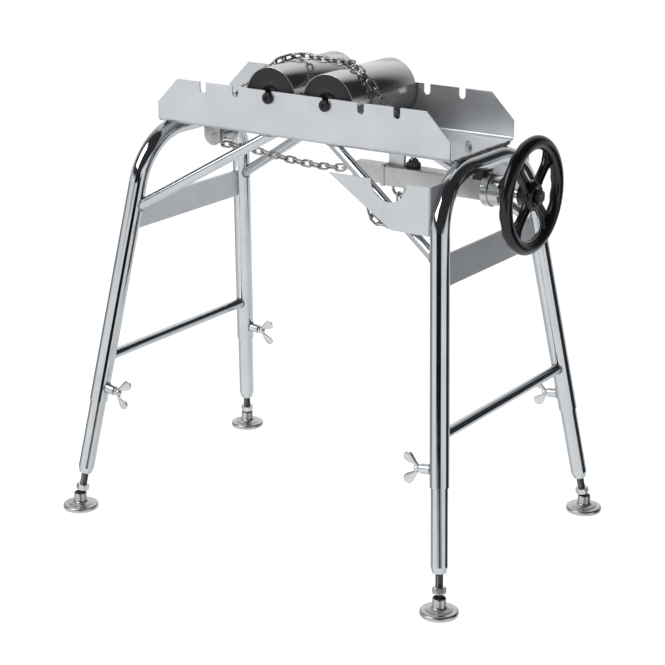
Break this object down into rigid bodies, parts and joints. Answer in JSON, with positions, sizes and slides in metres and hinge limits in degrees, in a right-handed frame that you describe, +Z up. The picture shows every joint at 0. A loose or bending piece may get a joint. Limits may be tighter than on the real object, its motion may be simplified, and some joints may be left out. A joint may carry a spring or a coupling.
{
  "type": "pipe stand",
  "caption": "Four-legged stand that carries a pipe on two rollers in a slotted tray and clamps it with a chain drawn tight by a handwheel; telescoping legs end in swivel feet.",
  "frame": {"origin": "on the floor under the middle of the tray", "axes": "+X runs along the tray towards the handwheel, +Y to the rear along the rollers, +Z up"},
  "size_m": [0.978, 0.6738, 0.9811],
  "materials": {
    "sheet": "zinc-plated, satin",
    "tube": "bright plated",
    "bar": "bright plated",
    "inner_tube": "zinc-plated",
    "roller": "turned",
    "disc": "moulded",
    "bearing": "ground",
    "axle": "blackened",
    "foot": "grey coated",
    "stud": "dark plated",
    "fastener": "zinc-plated",
    "square_tube": "zinc-plated, welded",
    "housing": "turned, zinc-plated",
    "turned": "turned",
    "wheel": "gloss black",
    "saddle": "dark",
    "chain": "zinc-plated, worn"
  },
  "bodies": {
    "stand": {"bearing_housing": "housing", "chain_anchor": "square_tube", "chain_over_rollers": "chain", "chain_ring": "square_tube", "chain_tail": "chain", "chain_under_tray": "chain", "clamp_bushes": "fastener", "end_flange": "housing", "front_gusset": "sheet", "front_left_diagonal": "bar", "front_right_diagonal": "bar", "guide_cheeks": "square_tube", "guide_pin": "turned", "left_flat_brace": "sheet", "left_leg_frame": "tube", "left_lower_bar": "bar", "left_roller_axle": "axle", "rear_gusset": "sheet", "rear_left_diagonal": "bar", "rear_right_diagonal": "bar", "right_flat_brace": "sheet", "right_leg_frame": "tube", "right_lower_bar": "bar", "right_roller_axle": "axle", "tensioner_hanger": "sheet", "tensioner_outer_tube": "square_tube", "tensioner_saddle": "saddle", "tray": "sheet", "tray_bolt": "fastener", "tray_bolt_nuts": "fastener"},
    "left_roller": {"left_roller_tube": "roller", "left_roller_end_discs": "disc", "left_roller_bearings": "bearing"},
    "right_roller": {"right_roller_tube": "roller", "right_roller_end_discs": "disc", "right_roller_bearings": "bearing"},
    "guide_roller": {"guide_roller": "turned"},
    "tensioner": {"tensioner_inner_tube": "square_tube", "chain_claw": "square_tube", "spindle_nut": "turned"},
    "spindle": {"spindle": "turned", "handwheel": "wheel", "wheel_nut": "fastener"},
    "front_left_inner_leg": {"front_left_inner_leg": "inner_tube"},
    "front_left_stud": {"front_left_stud": "stud"},
    "front_left_foot": {"front_left_foot": "foot"},
    "front_left_wing_screw": {"front_left_wing_screw": "fastener"},
    "front_right_inner_leg": {"front_right_inner_leg": "inner_tube"},
    "front_right_stud": {"front_right_stud": "stud"},
    "front_right_foot": {"front_right_foot": "foot"},
    "front_right_wing_screw": {"front_right_wing_screw": "fastener"},
    "rear_left_inner_leg": {"rear_left_inner_leg": "inner_tube"},
    "rear_left_stud": {"rear_left_stud": "stud"},
    "rear_left_foot": {"rear_left_foot": "foot"},
    "rear_left_wing_screw": {"rear_left_wing_screw": "fastener"},
    "rear_right_inner_leg": {"rear_right_inner_leg": "inner_tube"},
    "rear_right_stud": {"rear_right_stud": "stud"},
    "rear_right_foot": {"rear_right_foot": "foot"},
    "rear_right_wing_screw": {"rear_right_wing_screw": "fastener"}
  },
  "joints": [
    {"name": "left_roller_spin", "type": "hinge", "parent": "stand", "child": "left_roller", "pos_m": [-0.068, 0, 0.9058], "axis": [0, 1, 0], "continuous": true},
    {"name": "right_roller_spin", "type": "hinge", "parent": "stand", "child": "right_roller", "pos_m": [0.068, 0, 0.9058], "axis": [0, 1, 0], "continuous": true},
    {"name": "guide_roller_spin", "type": "hinge", "parent": "stand", "child": "guide_roller", "pos_m": [-0.275, 0, 0.79], "axis": [0, 1, 0], "continuous": true},
    {"name": "tensioner_slide", "type": "slide", "parent": "stand", "child": "tensioner", "axis": [1, 0, 0], "range_m": [-0.03, 0.03], "deforming": ["chain_under_tray", "chain_tail"]},
    {"name": "handwheel_turn", "type": "hinge", "parent": "stand", "child": "spindle", "pos_m": [0.46, 0, 0.757], "axis": [1, 0, 0], "range_deg": [-2760, 2760]},
    {"name": "front_left_leg_slide", "type": "slide", "parent": "stand", "child": "front_left_inner_leg", "axis": [-0.1238, -0.175, -0.9768], "range_m": [-0.13, 0.12]},
    {"name": "front_left_stud_slide", "type": "slide", "parent": "front_left_inner_leg", "child": "front_left_stud", "axis": [-0.1238, -0.175, -0.9768], "range_m": [-0.022, 0.04]},
    {"name": "front_left_foot_swivel", "type": "hinge", "parent": "front_left_stud", "child": "front_left_foot", "pos_m": [-0.45147, -0.29942, 0.02], "axis": [0.8165, -0.5773, 0], "range_deg": [-8, 8]},
    {"name": "front_left_wing_turn", "type": "hinge", "parent": "stand", "child": "front_left_wing_screw", "pos_m": [-0.41954, -0.25426, 0.272], "axis": [0.9923, -0.0218, -0.1218], "range_deg": [-90, 90]},
    {"name": "front_right_leg_slide", "type": "slide", "parent": "stand", "child": "front_right_inner_leg", "axis": [0.1238, -0.175, -0.9768], "range_m": [-0.13, 0.12]},
    {"name": "front_right_stud_slide", "type": "slide", "parent": "front_right_inner_leg", "child": "front_right_stud", "axis": [0.1238, -0.175, -0.9768], "range_m": [-0.022, 0.04]},
    {"name": "front_right_foot_swivel", "type": "hinge", "parent": "front_right_stud", "child": "front_right_foot", "pos_m": [0.45147, -0.29942, 0.02], "axis": [0.8165, 0.5773, 0], "range_deg": [-8, 8]},
    {"name": "front_right_wing_turn", "type": "hinge", "parent": "stand", "child": "front_right_wing_screw", "pos_m": [0.41954, -0.25426, 0.272], "axis": [-0.9923, -0.0218, -0.1218], "range_deg": [-90, 90]},
    {"name": "rear_left_leg_slide", "type": "slide", "parent": "stand", "child": "rear_left_inner_leg", "axis": [-0.1238, 0.175, -0.9768], "range_m": [-0.13, 0.12]},
    {"name": "rear_left_stud_slide", "type": "slide", "parent": "rear_left_inner_leg", "child": "rear_left_stud", "axis": [-0.1238, 0.175, -0.9768], "range_m": [-0.022, 0.04]},
    {"name": "rear_left_foot_swivel", "type": "hinge", "parent": "rear_left_stud", "child": "rear_left_foot", "pos_m": [-0.45147, 0.29942, 0.02], "axis": [-0.8165, -0.5773, 0], "range_deg": [-8, 8]},
    {"name": "rear_left_wing_turn", "type": "hinge", "parent": "stand", "child": "rear_left_wing_screw", "pos_m": [-0.41954, 0.25426, 0.272], "axis": [0.9923, 0.0218, -0.1218], "range_deg": [-90, 90]},
    {"name": "rear_right_leg_slide", "type": "slide", "parent": "stand", "child": "rear_right_inner_leg", "axis": [0.1238, 0.175, -0.9768], "range_m": [-0.13, 0.12]},
    {"name": "rear_right_stud_slide", "type": "slide", "parent": "rear_right_inner_leg", "child": "rear_right_stud", "axis": [0.1238, 0.175, -0.9768], "range_m": [-0.022, 0.04]},
    {"name": "rear_right_foot_swivel", "type": "hinge", "parent": "rear_right_stud", "child": "rear_right_foot", "pos_m": [0.45147, 0.29942, 0.02], "axis": [-0.8165, 0.5773, 0], "range_deg": [-8, 8]},
    {"name": "rear_right_wing_turn", "type": "hinge", "parent": "stand", "child": "rear_right_wing_screw", "pos_m": [0.41954, 0.25426, 0.272], "axis": [-0.9923, 0.0218, -0.1218], "range_deg": [-90, 90]}
  ],
  "couplings": [
    {"joint": "handwheel_turn", "follows": "tensioner_slide", "rad_per_m": -1570.8}
  ]
}
